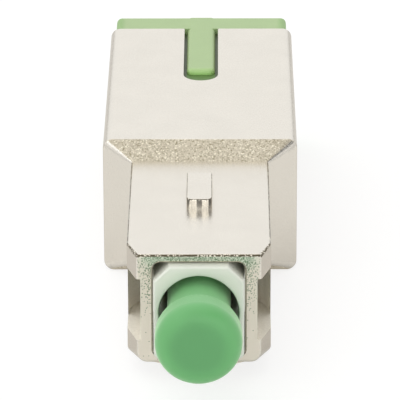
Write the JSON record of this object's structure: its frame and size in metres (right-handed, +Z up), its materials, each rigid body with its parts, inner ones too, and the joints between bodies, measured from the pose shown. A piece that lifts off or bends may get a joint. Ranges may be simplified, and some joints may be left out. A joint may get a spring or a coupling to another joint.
{
  "type": "fibre optic attenuator",
  "caption": "Plug-to-port fibre optic attenuator: metal shell with a keyed push-pull plug, a green port with latch hooks, and a dust cap on the ferrule.",
  "frame": {"origin": "on the optical axis, in the plane of the metal plug's front edge", "axes": "+Y along the optical axis from the plug to the port, +Z up through the plug's key, +X to the right seen from the plug"},
  "size_m": [0.0128, 0.0473, 0.0094],
  "materials": {
    "nickel_zinc": "satin nickel plate on die-cast zinc",
    "green_insert": "moulded, satin",
    "white_frame": "moulded, satin",
    "white_hooks": "moulded, satin",
    "zirconia": "polished",
    "spring_steel": "drawn wire",
    "turned_nickel": "turned and plated",
    "fibre_glass": "drawn glass",
    "green_cap": "soft moulded plastic, satin"
  },
  "bodies": {
    "shell": {"metal_shell": "nickel_zinc", "port_insert": "green_insert"},
    "core": {"plug_frame": "white_frame", "sleeve_holder": "white_frame", "latch_hooks": "white_hooks", "split_sleeve": "zirconia", "ferrule_spring": "spring_steel"},
    "ferrule_unit": {"ferrule": "zirconia", "ferrule_flange": "turned_nickel", "attenuating_fibre": "fibre_glass"},
    "cap": {"dust_cap": "green_cap"}
  },
  "joints": [
    {"name": "shell_release", "type": "slide", "parent": "shell", "child": "core", "axis": [0, -1, 0], "range_m": [0, 0.0012]},
    {"name": "ferrule_float", "type": "slide", "parent": "core", "child": "ferrule_unit", "axis": [0, 1, 0], "range_m": [0, 0.001], "stiffness_N_per_m": 200, "deforming": ["ferrule_spring"]},
    {"name": "cap_pull", "type": "slide", "parent": "ferrule_unit", "child": "cap", "axis": [0, -1, 0], "range_m": [0, 0.01]}
  ]
}
